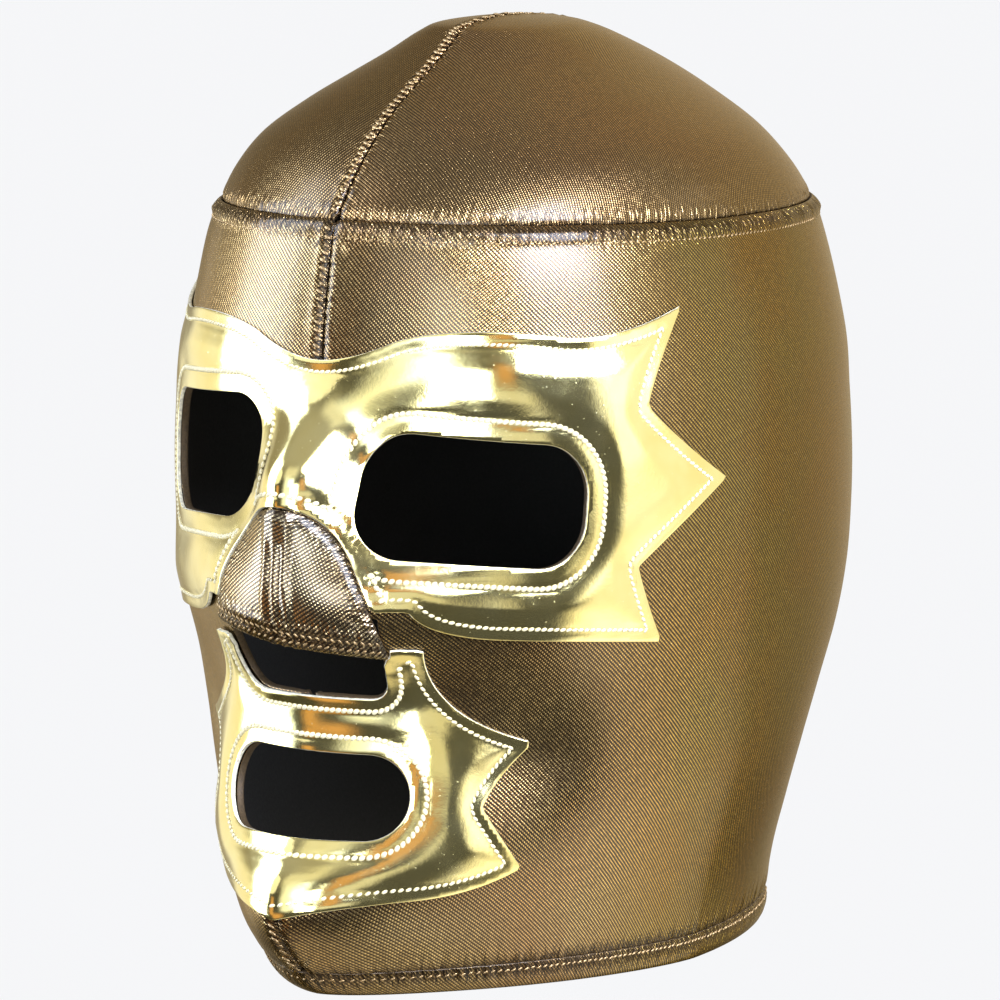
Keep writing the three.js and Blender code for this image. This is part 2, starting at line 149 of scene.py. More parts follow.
def levelAt(t):
    row = np.clip(np.floor(t).astype(int), 0, levelCount - 1)
    s = (t - row)[:, None]
    a, b, c, d = (levelStack[row + k] for k in range(4))
    slopeIn, slopeOut = (c - a) / 2, (d - b) / 2
    mixed = (2 * s**3 - 3 * s**2 + 1) * b + (s**3 - 2 * s**2 + s) * slopeIn
    mixed += (3 * s**2 - 2 * s**3) * c + (s**3 - s**2) * slopeOut
    down, width, front, back, bow = mixed.T
    return down, width * form["halfWide"], front * form["faceDeep"], back * form["backDeep"], bow


def swellAt(across, down):
    total = np.zeros_like(across)
    for centre, level, wide, above, below, rise in swells:
        reach = np.where(down < level, above, below)
        sideways = np.exp(-(((across - centre) / wide) ** 2))
        if centre:
            sideways += np.exp(-(((across + centre) / wide) ** 2))
        total += rise * sideways * np.exp(-(((down - level) / reach) ** 2))
    return total


def skinPoint(turn, t):
    down, width, front, back, bow = levelAt(t)
    facing = np.cos(turn) > 0
    power = 2 / np.where(facing, bow, 2)
    x = width * np.sign(np.sin(turn)) * np.abs(np.sin(turn)) ** power
    y = -np.where(facing, front, back) * np.sign(np.cos(turn)) * np.abs(np.cos(turn)) ** power
    reach = np.maximum(np.hypot(x, y), 1e-6)
    grow = 1 + swellAt(np.arctan2(x, -y) * form["patternRadius"], down) / reach
    return np.stack([x * grow, y * grow, topZ - down], 1)


fineT = np.linspace(0, levelCount, 6000)
fineDown = levelAt(fineT)[0]


# The outer cloth at places of the flat pattern: x is across, y is minus the way down.
def fromPattern(flat):
    angle = flat[:, 0] / form["patternRadius"]
    t = np.interp(-flat[:, 1], fineDown, fineT)
    _, width, front, back, bow = levelAt(t)
    facing = np.cos(angle) > 0
    root = np.where(facing, bow, 2) / 2
    deep = np.where(facing, front, back)
    side = np.sign(np.sin(angle)) * (np.abs(np.sin(angle)) / width) ** root
    face = np.sign(np.cos(angle)) * (np.abs(np.cos(angle)) / deep) ** root
    return skinPoint(np.arctan2(side, face), t)


# The crown is drawn as a disc: its radius is the way down from the top along the cloth.
discRows = levelAt(fineT)
discMean = (2 * discRows[1] + discRows[2] + discRows[3]) / 4
fineDisc = np.concatenate([[0], np.cumsum(np.hypot(np.diff(discRows[0]), np.diff(discMean)))])


def fromDisc(flat):
    t = np.interp(np.hypot(flat[:, 0], flat[:, 1]), fineDisc, fineT)
    return skinPoint(np.arctan2(flat[:, 0], -flat[:, 1]), t)


def skinAndNormal(place, flat):
    step = 0.4
    side = place(flat + (step, 0)) - place(flat - (step, 0))
    rise = place(flat + (0, step)) - place(flat - (0, step))
    normal = np.cross(side, rise)
    return place(flat), normal / np.maximum(np.linalg.norm(normal, axis=1), 1e-9)[:, None]


# How far a place is above the crown seam, which falls towards the back.
def aboveSeam(place, flat):
    spot = place(flat)
    return spot[:, 2] - (topZ - form["crownTall"] - form["crownSeamFall"] * spot[:, 1])


def bend(*controls, count=20):  # two controls make a line, three or four a curve
    share = np.linspace(0, 1, count, endpoint=False)[:, None]
    points = [np.array(c, float) + 0 * share for c in controls]
    while len(points) > 1:
        points = [a + (b - a) * share for a, b in zip(points, points[1:])]
    return points[0]


cornerSteps = 14


def slotOutline(across, down, long, tall, turn=0, rounding=1, side=1):
    radius = tall / 2 * rounding
    parts = []
    for quarter, right, low in ((0, 1, 1), (1, -1, 1), (2, -1, -1), (3, 1, -1)):
        angles = np.linspace(quarter, quarter + 1, cornerSteps) * math.pi / 2
        arc = np.stack([np.cos(angles), np.sin(angles)], 1) * radius
        parts.append(arc + (right * (long / 2 - radius), low * (tall / 2 - radius)))
    ring = np.concatenate(parts)
    c, s = math.cos(math.radians(turn) * side), math.sin(math.radians(turn) * side)
    x, y = ring.T
    return np.stack([x * c - y * s + across * side, x * s + y * c + down], 1)


def eyeOutline(side):
    return slotOutline(
        eye["across"], eye["down"] + eye["skew"] * side, eye["long"], eye["tall"], eye["turn"], eye["round"], side
    )


def noseOutline(grow, hemGrow=None):
    hemGrow = grow if hemGrow is None else hemGrow
    wide, top, skew = nose["halfWide"] + grow, nose["top"] - grow, eye["skew"]
    left, right = nose["hemDown"] + skew + hemGrow, nose["hemDown"] - skew + hemGrow
    shoulder = nose["hemDown"] - (nose["hemDown"] - nose["top"]) * nose["shoulderUp"]
    out, tip = wide * nose["shoulderWide"], wide * nose["topRound"]
    return np.concatenate([
        bend((-wide, right), (-out, shoulder - skew), (-tip, top), (0, top)),
        bend((0, top), (tip, top), (out, shoulder + skew), (wide, left)),
        bend((wide, left), (-wide, right)),
    ])


def breathOutline():
    wide, low, left, right = breath["halfWide"], breath["down"], breath["leftCorner"], breath["rightCorner"]
    high = nose["hemDown"] - eye["skew"] - nose["lap"]
    return np.concatenate([
        bend((-wide, high), (wide, high)),
        bend((wide, high), (wide, low - left)),
        bend((wide, low - left), (wide, low), (wide - left, low)),
        bend((wide - left, low), (-wide + right, low)),
        bend((-wide + right, low), (-wide, low), (-wide, low - right)),
        bend((-wide, low - right), (-wide, high)),
    ])


def mirroredOutline(start, strokes):
    ends = [start] + [s[-1] for s in strokes]
    left = [bend(ends[i], *s) for i, s in enumerate(strokes)]
    right = []
    for i in reversed(range(len(strokes))):
        controls = [ends[i + 1], *reversed(strokes[i][:-1]), ends[i]]
        right.append(bend(*[(-x, y) for x, y in controls]))
    return np.concatenate(left + right)


# Pointed rays round the openings: margins, reaches and spreads in millimetres
rays = {
    "browMargin": 24, "cheekMargin": 22, "bridgeDip": 9, "reach": 120, "valley": 92, "spread": 40,
    "lipMargin": 15, "lipReach": 60, "lipSpread": 30,
}


def eyePanelOutline():
    r = rays
    brow = eye["down"] - eye["tall"] / 2 - r["browMargin"]
    cheek = eye["down"] + eye["tall"] / 2 + r["cheekMargin"]
    end, middle, low = eye["across"] + eye["long"] / 2, eye["down"] + 1, nose["hemDown"] - 9
    dip, reach, valley, spread = r["bridgeDip"], r["reach"], r["valley"], r["spread"]
    return mirroredOutline((0, brow + dip), [
        [(9, brow + dip), (eye["across"] - 22, brow + dip * 0.4)],
        [(eye["across"] - 8, brow - 1), (eye["across"] + 20, brow + 2)],
        [(end + 6, brow + 5), (reach - 14, middle - spread - 4)],
        [(valley + 3, middle - spread * 0.75), (valley, middle - spread / 2)],
        [(valley + 12, middle - spread * 0.22), (reach, middle)],
        [(valley + 12, middle + spread * 0.22), (valley - 3, middle + spread / 2)],
        [(valley, middle + spread * 0.75), (reach - 22, middle + spread)],
        [(end - 2, cheek + 1), (eye["across"] + 8, cheek)],
        [(eye["across"] - 12, cheek - 1), (nose["halfWide"] + 5, low)],
        [(0, low)],
    ])


def mouthPanelOutline():
    r = rays
    top, chin = nose["hemDown"] + 1, mouth["down"] + mouth["tall"] / 2 + r["lipMargin"]
    high, low = mouth["down"] - r["lipSpread"] / 2 + 2, mouth["down"] + r["lipSpread"] / 2 + 4
    side = mouth["long"] / 2 + r["lipMargin"]
    return mirroredOutline((0, top), [
        [(nose["halfWide"] + 8, top)],
        [(nose["halfWide"] + 7, mouth["down"] - 20), (r["lipReach"], high)],
        [(side + 6, mouth["down"] - 4), (side + 3, mouth["down"] + 3)],
        [(side + 6, mouth["down"] + 8), (r["lipReach"] - 4, low)],
        [(side - 2, chin), (side - 17, chin)],
        [(8, chin + 1), (0, chin + 4)],
    ])


rowsAtOnce = 4000  # keeps the distance tables small


# Distance to an outline, more than 0 inside it. flat has y upwards, outlines have down.
def inside(flat, outline):
    a, b = outline, np.roll(outline, -1, 0)
    result = []
    for start in range(0, len(flat), rowsAtOnce):
        part = flat[start : start + rowsAtOnce] * (1, -1)
        edge, away = b - a, part[:, None] - a
        share = np.clip((away * edge).sum(2) / np.maximum((edge**2).sum(1), 1e-9), 0, 1)
        distance = np.sqrt(((away - share[..., None] * edge) ** 2).sum(2)).min(1)
        y = part[:, None, 1]
        crosses = (a[:, 1] > y) != (b[:, 1] > y)
        slope = (b[:, 0] - a[:, 0]) / np.where(b[:, 1] == a[:, 1], 1e-9, b[:, 1] - a[:, 1])
        crosses &= part[:, None, 0] < a[:, 0] + slope * (y - a[:, 1])
        result.append(np.where(crosses.sum(1) % 2 == 1, distance, -distance))
    return np.concatenate(result)


eyeHoles = [eyeOutline(1), eyeOutline(-1)]
mouthHole = slotOutline(0, mouth["down"], mouth["long"], mouth["tall"])
breathHole = breathOutline()
nosePiece = noseOutline(0, 0)
noseRoom = noseOutline(form["edgeGap"])
noseWindow = noseOutline(-nose["lap"], 0)
eyePanelShape = eyePanelOutline()
mouthPanelShape = mouthPanelOutline()


def outsideAll(flat, outlines):
    return np.min([-inside(flat, o) for o in outlines], axis=0)


def flatOf(bm):
    return np.array([v.co.xy for v in bm.verts])


def flatSheet(low, high, cell):
    bm = bmesh.new()
    wide, tall = high[0] - low[0], high[1] - low[1]
    bmesh.ops.create_grid(bm, x_segments=round(wide / cell), y_segments=round(tall / cell), size=0.5)
    bmesh.ops.scale(bm, vec=(wide, tall, 1), verts=bm.verts)
    bmesh.ops.translate(bm, vec=((low[0] + high[0]) / 2, (low[1] + high[1]) / 2, 0), verts=bm.verts)
    return bm


def sheetOver(outline, margin, cell):
    low, high = outline.min(0) - margin, outline.max(0) + margin
    return flatSheet((low[0], -high[1]), (high[0], -low[1]), cell)


trim = {"onEdge": 1e-4, "merge": 0.3}  # mm taken as on the outline, and the share of a cell that is merged


# Keeps the part of a sheet where room is more than 0, and brings its edge onto the outline.
def trimSheet(bm, room, cell):
    bm.verts.index_update()
    value = room(flatOf(bm))
    value[np.abs(value) < trim["onEdge"]] = 0
    nearest = {}
    for edge in bm.edges:
        a, b = edge.verts
        if value[a.index] * value[b.index] < 0:
            share = value[a.index] / (value[a.index] - value[b.index])
            vert, part = (a, share) if share < 0.5 else (b, 1 - share)
            if vert not in nearest or part < nearest[vert][0]:
                nearest[vert] = (part, a.co.lerp(b.co, share))
    for vert, (_, spot) in nearest.items():
        vert.co = spot
        value[vert.index] = 0
    for face in list(bm.faces):
        signs = [np.sign(value[v.index]) for v in face.verts]
        if sorted(signs) == [-1, 0, 0, 1]:
            a, b = [v for v, s in zip(face.verts, signs) if s == 0]
            if not any(a in e.verts and b in e.verts for e in face.edges):
                bmesh.utils.face_split(face, a, b)
    bmesh.ops.delete(bm, geom=[v for v in bm.verts if value[v.index] < 0], context="VERTS")
    rim = [f for f in bm.faces if all(v.is_boundary for v in f.verts)]
    if rim:
        middle = room(np.array([f.calc_center_median().xy for f in rim]))
        bmesh.ops.delete(bm, geom=[f for f, m in zip(rim, middle) if m < 0], context="FACES")
    bmesh.ops.delete(bm, geom=[v for v in bm.verts if not v.link_faces], context="VERTS")
    bmesh.ops.remove_doubles(bm, verts=[v for v in bm.verts if v.is_boundary], dist=cell * trim["merge"])


farFromSeams = 50.0


# Writes the flat pattern in millimetres as one UV map, and the way along and off the nearest seam as another.
# Then it lays the sheet on the head.
def layOn(bm, place, lift, seam=None):
    bm.verts.index_update()
    flat = flatOf(bm)
    uv = bm.loops.layers.uv.new("pattern")
    seamUv = bm.loops.layers.uv.new("seams")
    near = seam(flat) if seam else np.full((len(flat), 2), farFromSeams)
    for face in bm.faces:
        for loop in face.loops:
            loop[uv].uv = loop.vert.co.xy
            loop[seamUv].uv = near[loop.vert.index]
    spot, normal = skinAndNormal(place, flat)
    spot = (spot + normal * lift(flat)[:, None]) * millimetre
    for vert, co in zip(bm.verts, spot):
        vert.co = co


def meshFrom(name, bm):
    mesh = bpy.data.meshes.new(name)
    bm.to_mesh(mesh)
    bm.free()
    return mesh


def addPiece(name, bm, materials, replaces=()):
    for face in bm.faces:
        face.smooth = True
    mesh = meshFrom(name, bm)
    for material in materials:
        mesh.materials.append(material)
    piece = bpy.data.objects.new(name, mesh)
    bpy.context.collection.objects.link(piece)
    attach(piece, "root")
    if replaces:
        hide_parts(*replaces)
    return piece


bevelAngle = math.radians(55)


# Thickness inwards from the outer face: the inner face takes the second material and the rim the third.
def thicken(piece, wall, edge, segments=2):
    solid = piece.modifiers.new("wall", "SOLIDIFY")
    solid.thickness = wall * millimetre
    solid.offset = -1
    solid.material_offset = 1
    solid.material_offset_rim = 2
    soft = piece.modifiers.new("edge", "BEVEL")
    soft.width = edge * millimetre
    soft.segments = segments
    soft.limit_method = "ANGLE"
    soft.angle_limit = bevelAngle
    soft.use_clamp_overlap = False


# Trims a flat sheet, lays it on the head and gives it its wall.
def makeWalled(name, replaced, bm, spec, room, lift, seam, materials, place=fromPattern, wall=None):
    if room:
        trimSheet(bm, room, spec["cell"])
    layOn(bm, place, lift, seam)
    piece = addPiece(name, bm, materials, [replaced])
    thicken(piece, wall or form["clothWall"], spec["edge"], spec.get("edgeSteps", 2))


def gauss(value, reach):
    return np.exp(-((value / reach) ** 2))


def easeIn(value, low, high):
    share = np.clip((value - low) / (high - low), 0, 1)
    return share * share * (3 - 2 * share)


# (high, at, reach): a ridge beside a line, or a groove where high is below 0
def ridge(off, row):
    high, at, reach = row
    return high * gauss(off - at, reach)


# (high, pitch, seed, at, reach): small uneven folds across a line
def gathers(along, off, row):
    high, pitch, seed, at, reach = row
    return high * uneven(along, pitch, seed) * gauss(off - at, reach)


# (way along, way off) of the nearest of several seams
def nearestSeam(*pairs):
    along = np.stack([a + 0 * d for a, d in pairs], 1)
    away = np.stack([d + 0 * a for a, d in pairs], 1)
    pick = np.argmin(np.abs(away), axis=1)
    rows = np.arange(len(pick))
    return np.stack([along[rows, pick], away[rows, pick]], 1)


# Uneven waves of about +-1 along a seam, the same on each run.
def uneven(value, pitch, seed=0.0):
    return (
        np.sin(value * 2 * math.pi / pitch + seed)
        + 0.6 * np.sin(value * 2 * math.pi / (pitch * 1.63) + seed * 2.1)
        + 0.5 * np.sin(value * 2 * math.pi / (pitch * 0.61) + seed * 3.7)
    ) / 1.6


# Materials
def node(tree, kind, **settings):
    item = tree.nodes.new("ShaderNode" + kind)
    for key, value in settings.items():
        setattr(item, key, value)
    return item


def wire(tree, source, target):
    tree.links.new(source, target)


def feed(tree, socket, value):
    if isinstance(value, bpy.types.NodeSocket):
        wire(tree, value, socket)
    elif value is not None:
        socket.default_value = value


def maths(tree, operation, a, b=None, c=None):
    item = node(tree, "Math", operation=operation)
    for socket, value in zip(item.inputs, (a, b, c)):
        feed(tree, socket, value)
    return item.outputs[0]


def times(tree, a, b):
    return maths(tree, "MULTIPLY", a, b)


def vectorMaths(tree, operation, a, b):
    item = node(tree, "VectorMath", operation=operation)
    feed(tree, item.inputs[0], a)
    feed(tree, item.inputs["Scale" if operation == "SCALE" else 1], b)
    return item.outputs[0]


def splitOf(tree, vector):
    item = node(tree, "SeparateXYZ")
    wire(tree, vector, item.inputs[0])
    return item.outputs


def joined(tree, x, y):
    item = node(tree, "CombineXYZ")
    wire(tree, x, item.inputs[0])
    wire(tree, y, item.inputs[1])
    return item.outputs[0]


def turnedBy(tree, vector, angle):
    item = node(tree, "VectorRotate", rotation_type="Z_AXIS")
    feed(tree, item.inputs["Vector"], vector)
    feed(tree, item.inputs["Angle"], angle)
    return splitOf(tree, item.outputs[0])


# 1 on a line, fading to 0 on both sides of it
def fadeOff(tree, value, reach):
    share = maths(tree, "DIVIDE", value, reach)
    return maths(tree, "EXPONENT", times(tree, times(tree, share, share), -1.0))


# A sine of the place in whole turns, times half, plus the middle
def waveOf(tree, turns, half, middle):
    return maths(tree, "MULTIPLY_ADD", maths(tree, "SINE", times(tree, turns, 2 * math.pi)), half, middle)


def ramp(tree, value, low, high, toLow=0.0, toHigh=1.0, smooth=True):
    item = node(tree, "MapRange", interpolation_type="SMOOTHSTEP" if smooth else "LINEAR")
    for socket, v in zip(item.inputs, (value, low, high, toLow, toHigh)):
        feed(tree, socket, v)
    return item.outputs[0]


def mixColours(tree, share, a, b):
    item = node(tree, "Mix", data_type="RGBA")
    feed(tree, item.inputs[0], share)
    feed(tree, item.inputs[6], a)
    feed(tree, item.inputs[7], b)
    return item.outputs[2]


def noiseOf(tree, vector, scale, detail=2.0, roughness=0.5, output=0):
    item = node(tree, "TexNoise")
    for label, value in (("Vector", vector), ("Scale", scale), ("Detail", detail), ("Roughness", roughness)):
        feed(tree, item.inputs[label], value)
    return item.outputs[output]


def newGroup(name, inputs, outputs):
    tree = bpy.data.node_groups.new(name, "ShaderNodeTree")
    for label, kind, value in inputs:
        socket = tree.interface.new_socket(label, in_out="INPUT", socket_type="NodeSocket" + kind)
        if value is not None:
            socket.default_value = value
    for label, kind in outputs:
        tree.interface.new_socket(label, in_out="OUTPUT", socket_type="NodeSocket" + kind)
    return tree, tree.nodes.new("NodeGroupInput"), tree.nodes.new("NodeGroupOutput")


def placeGroup(tree, group, **values):
    item = tree.nodes.new("ShaderNodeGroup")
    item.node_tree = group
    for key, value in values.items():
        feed(tree, item.inputs[key], value)
    return item


twill = {
    "driftScale": 0.22,  # noise scales are for each mm
    "rowShift": 0.37,  # shift of the threads from rib to rib
    "ribSharp": 1.3,
    "threadHalf": 0.34, "threadMiddle": 0.66,
    "dullThread": 0.62,
    "glintScale": 1.1, "glintFrom": 0.62, "glintTo": 0.74,
}


# Twill ribs crossed by short threads, on a pattern in millimetres. Thread is 1 on top of a rib, and the last output
# marks pale specks on the threads that are painted glints.
def makeWeaveGroup():
    tree, given, result = newGroup(
        "twillWeave",
        [("Pattern", "Vector", None), ("RibPitch", "Float", 1.2), ("ThreadPitch", "Float", 0.8),
         ("Turn", "Float", 0.8), ("Wander", "Float", 0.3)],
        [("Thread", "Float"), ("PaintedGlint", "Float")],
    )
    pattern = given.outputs["Pattern"]
    drift = noiseOf(tree, pattern, twill["driftScale"], 1.0, output=1)
    centred = vectorMaths(tree, "SUBTRACT", drift, (0.5, 0.5, 0.5))
    moved = vectorMaths(tree, "ADD", pattern, vectorMaths(tree, "SCALE", centred, given.outputs["Wander"]))
    across, up, _ = turnedBy(tree, moved, given.outputs["Turn"])
    ribPlace = maths(tree, "DIVIDE", across, given.outputs["RibPitch"])
    ribCount = maths(tree, "FLOOR", ribPlace)
    threadPlace = maths(tree, "DIVIDE", up, given.outputs["ThreadPitch"])
    threadPlace = maths(tree, "ADD", threadPlace, times(tree, ribCount, twill["rowShift"]))
    rib = maths(tree, "POWER", waveOf(tree, ribPlace, 0.5, 0.5), twill["ribSharp"])
    thread = waveOf(tree, threadPlace, twill["threadHalf"], twill["threadMiddle"])
    chance = node(tree, "TexWhiteNoise", noise_dimensions="2D")
    wire(tree, joined(tree, ribCount, maths(tree, "FLOOR", threadPlace)), chance.inputs["Vector"])
    shade = ramp(tree, chance.outputs["Value"], 0.0, 1.0, twill["dullThread"], 1.0, False)
    mask = times(tree, rib, times(tree, thread, shade))
    wire(tree, mask, result.inputs["Thread"])
    glint = ramp(tree, noiseOf(tree, pattern, twill["glintScale"], 3.0, 0.7), twill["glintFrom"], twill["glintTo"])
    wire(tree, times(tree, glint, mask), result.inputs["PaintedGlint"])
    return tree


dust = {"scale": 0.9, "from": 0.66, "to": 0.76}


# Slow changes of tone over a piece, and dust that gathers in small specks.
def makeToneGroup():
    tree, given, result = newGroup(
        "toneAndDust",
        [("Pattern", "Vector", None), ("Size", "Float", 0.03), ("Dust", "Float", 0.2)],
        [("Tone", "Float"), ("Specks", "Float")],
    )
    pattern = given.outputs["Pattern"]
    broad = noiseOf(tree, vectorMaths(tree, "SCALE", pattern, given.outputs["Size"]), 1.0, 3.0, 0.55)
    wire(tree, ramp(tree, broad, 0.3, 0.7), result.inputs["Tone"])
    specks = ramp(tree, noiseOf(tree, pattern, dust["scale"], 2.0, 0.8), dust["from"], dust["to"])
    wire(tree, times(tree, specks, given.outputs["Dust"]), result.inputs["Specks"])
    return tree


pucker = {"slant": 0.35, "scale": 0.4, "wander": 2.4, "palest": 0.6, "ridgeLessShade": -0.45}


# Puckers across a seam, and painted shade along the seam's groove, deeper in the valleys between the puckers and
# lighter on their ridges. Seam is the way along it and the way off it, in millimetres.
def makePuckerGroup():
    tree, given, result = newGroup(
        "seamPuckers",
        [("Seam", "Vector", None), ("Pitch", "Float", 2.9), ("Reach", "Float", 2.6), ("DarkReach", "Float", 1.7)],
        [("Height", "Float"), ("Dark", "Float")],
    )
    along, off, _ = splitOf(tree, given.outputs["Seam"])
    wander = noiseOf(tree, joined(tree, along, times(tree, off, pucker["slant"])), pucker["scale"])
    turns = maths(tree, "DIVIDE", along, given.outputs["Pitch"])
    turns = maths(tree, "ADD", turns, times(tree, wander, pucker["wander"]))
    wave = waveOf(tree, turns, 0.5, 0.5)
    near = fadeOff(tree, off, given.outputs["Reach"])
    wire(tree, times(tree, wave, near), result.inputs["Height"])
    patchy = ramp(tree, wander, 0.35, 0.6, pucker["palest"], 1.0)
    shadeShare = times(tree, fadeOff(tree, off, given.outputs["DarkReach"]), patchy)
    valley = maths(tree, "MULTIPLY_ADD", wave, pucker["ridgeLessShade"], 1.0)
    wire(tree, times(tree, shadeShare, valley), result.inputs["Dark"])
    return tree


weaveGroup = makeWeaveGroup()
toneGroup = makeToneGroup()
puckerGroup = makePuckerGroup()


def newMaterial(name):
    material = bpy.data.materials.new(name)
    material.use_nodes = True
    tree = material.node_tree
    return material, tree, tree.nodes["Principled BSDF"]


def dress(tree, shader, sockets):
    for label, value in sockets.items():
        feed(tree, shader.inputs[label], value)


def patternOf(tree, name="pattern"):
    item = node(tree, "UVMap")
    item.uv_map = name
    return item.outputs[0]


def addBump(tree, shader, height, distance, strength, before=None):
    item = node(tree, "Bump")
    item.inputs["Distance"].default_value = distance * millimetre
    item.inputs["Strength"].default_value = strength
    wire(tree, height, item.inputs["Height"])
    if before:
        wire(tree, before, item.inputs["Normal"])
    wire(tree, item.outputs[0], shader.inputs["Normal"])
    return item.outputs[0]


lame = {
    "gap": (0.024, 0.013, 0.008, 1),
    "thread": (0.74, 0.45, 0.09, 1),
    "greener": (0.66, 0.5, 0.12, 1),
    "litFront": (0.8, 0.59, 0.26, 1),  # the cloth at the front of the face, paler than at the sides: painted light
    "rosy": (0.78, 0.48, 0.2, 1),
    # greyer, less golden copy of the cloth for the crown: painted reflection of the neutral light above
    "crownSkyReflection": (0.74, 0.51, 0.22, 1),
    # whiter copy of the cloth for the nose: painted highlight on its sides
    "noseHighlight": (0.97, 0.86, 0.56, 1),
    "litFrontFrom": 70.0, "litFrontTo": 125.0,  # mm round from the middle of the face, where the paler painted light of the front gives way to the side colour
    # colour of the painted glints on the threads
    "glintColour": (1.0, 0.9, 0.6, 1),
    "ribPitch": 0.86, "threadPitch": 0.68,
    "roughness": 0.17, "metallic": 0.97,
    "gapMetallic": 0.85, "gapRough": 0.1, "dustRough": 0.2,
    # the last value below is the strength of the painted shade in the seam grooves and pucker valleys
    "wander": 0.35, "toneSize": 0.022, "dust": 0.5, "seamShade": 0.95,
    "film": 0.4, "filmRoughness": 0.2,
    "edgeTint": (0.9, 0.72, 0.42, 1),
    "weaveHigh": 0.075, "puckerHigh": 0.5,
}


def makeLame(name, turn, ribPitch=lame["ribPitch"], puckerPitch=2.9, front="litFront", back="thread", shadeReach=1.7):
    material, tree, shader = newMaterial(name)
    pattern = patternOf(tree)
    weave = placeGroup(
        tree, weaveGroup, Pattern=pattern, RibPitch=ribPitch, ThreadPitch=lame["threadPitch"],
        Turn=math.radians(turn), Wander=lame["wander"],
    )
    tone = placeGroup(tree, toneGroup, Pattern=pattern, Size=lame["toneSize"], Dust=lame["dust"])
    folds = placeGroup(tree, puckerGroup, Seam=patternOf(tree, "seams"), Pitch=puckerPitch, DarkReach=shadeReach)
    thread, slow = weave.outputs["Thread"], tone.outputs["Tone"]
    # painted light: the front of the face takes the paler front colour, the sides and back the deeper one
    around = ramp(tree, maths(tree, "ABSOLUTE", splitOf(tree, pattern)[0]), lame["litFrontFrom"], lame["litFrontTo"])
    fore = mixColours(tree, slow, lame[front], lame["rosy"])
    gold = mixColours(tree, around, fore, mixColours(tree, slow, lame[back], lame["greener"]))
    colour = mixColours(tree, thread, lame["gap"], gold)
    # painted glints: pale specks mixed into the thread colour
    colour = mixColours(tree, weave.outputs["PaintedGlint"], colour, lame["glintColour"])
    # painted shade: the colour goes towards the dark gap colour in the seam grooves and pucker valleys
    shadeShare = times(tree, folds.outputs["Dark"], lame["seamShade"])
    rough = maths(tree, "MULTIPLY_ADD", thread, -lame["gapRough"], lame["roughness"] + lame["gapRough"])
    rough = maths(tree, "MULTIPLY_ADD", tone.outputs["Specks"], lame["dustRough"], rough)
    dress(tree, shader, {
        "Base Color": mixColours(tree, shadeShare, colour, lame["gap"]), "Roughness": rough,
        "Metallic": ramp(tree, thread, 0.0, 0.5, lame["gapMetallic"], lame["metallic"]),
        "Specular Tint": lame["edgeTint"], "Coat Weight": lame["film"], "Coat Roughness": lame["filmRoughness"],
    })
    creased = addBump(tree, shader, folds.outputs["Height"], lame["puckerHigh"], 1.0)
    addBump(tree, shader, thread, lame["weaveHigh"], 0.8, creased)
    return material


vinyl = {
    "gold": (0.93, 0.84, 0.42, 1),
    "deep": (0.88, 0.75, 0.3, 1),
    "toneSize": 0.05,
    "dust": 0.3,
    "roughness": 0.1,
    "haze": 0.08, "hazeScale": 0.08,
    "metallic": 0.97,
    "ripple": 1.2, "rippleScale": 0.05,
    "grain": 0.03, "grainScale": 0.9,
    # the cut edge's pale colour is partly its backing and partly a painted highlight along the edge
    "cutEdgeAndHighlight": (0.9, 0.85, 0.66, 1),
}


def makeVinyl():
    material, tree, shader = newMaterial("goldVinyl")
    pattern = patternOf(tree)
    tone = placeGroup(tree, toneGroup, Pattern=pattern, Size=vinyl["toneSize"], Dust=vinyl["dust"])
    haze = ramp(tree, noiseOf(tree, pattern, vinyl["hazeScale"], 4.0, 0.6), 0.45, 0.75)
    rough = maths(tree, "MULTIPLY_ADD", haze, vinyl["haze"], vinyl["roughness"])
    dress(tree, shader, {
        "Base Color": mixColours(tree, tone.outputs["Tone"], vinyl["gold"], vinyl["deep"]),
        "Roughness": maths(tree, "ADD", rough, tone.outputs["Specks"]), "Metallic": vinyl["metallic"],
    })
    soft = addBump(tree, shader, noiseOf(tree, pattern, vinyl["rippleScale"], 0.0, 0.4), vinyl["ripple"], 0.6)
    addBump(tree, shader, noiseOf(tree, pattern, vinyl["grainScale"], 2.0, 0.6), vinyl["grain"], 0.5, soft)
    return material


spotted = {"darker": 0.55, "unevenShine": 0.08}


# Lining, thread and cut edges: one colour in small darker and lighter spots
def makePlain(name, colour, roughness, scale, high, metallic=0.0):
    material, tree, shader = newMaterial(name)
    spots = noiseOf(tree, node(tree, "TexCoord").outputs["Object"], scale, 3.0, 0.6)
    darker = tuple(c * spotted["darker"] for c in colour[:3]) + (1,)
    low, top = roughness - spotted["unevenShine"], roughness + spotted["unevenShine"]
    dress(tree, shader, {
        "Base Color": mixColours(tree, ramp(tree, spots, 0.3, 0.7), darker, colour),
        "Roughness": ramp(tree, spots, 0.2, 0.8, low, top), "Metallic": metallic,
    })
    addBump(tree, shader, spots, high, 0.6)
    return material


sideLeftCloth = makeLame("lameSideLeft", -48)
sideRightCloth = makeLame("lameSideRight", -52)
# the crown's colour is a painted reflection of the light above, and its painted seam shade reaches less far
crownLook = {"front": "crownSkyReflection", "back": "crownSkyReflection", "shadeReach": 0.7}
crownLeftCloth = makeLame("lameCrownLeft", -68, 0.8, **crownLook)
crownRightCloth = makeLame("lameCrownRight", 40, 1.15, **crownLook)
hemCloth = makeLame("lameHem", -44)
# the nose's whiter front colour is a painted highlight
noseCloth = makeLame("lameNose", 52, 0.8, 2.2, front="noseHighlight")
flapCloth = makeLame("lameFlap", -48)
vinylGold = makeVinyl()
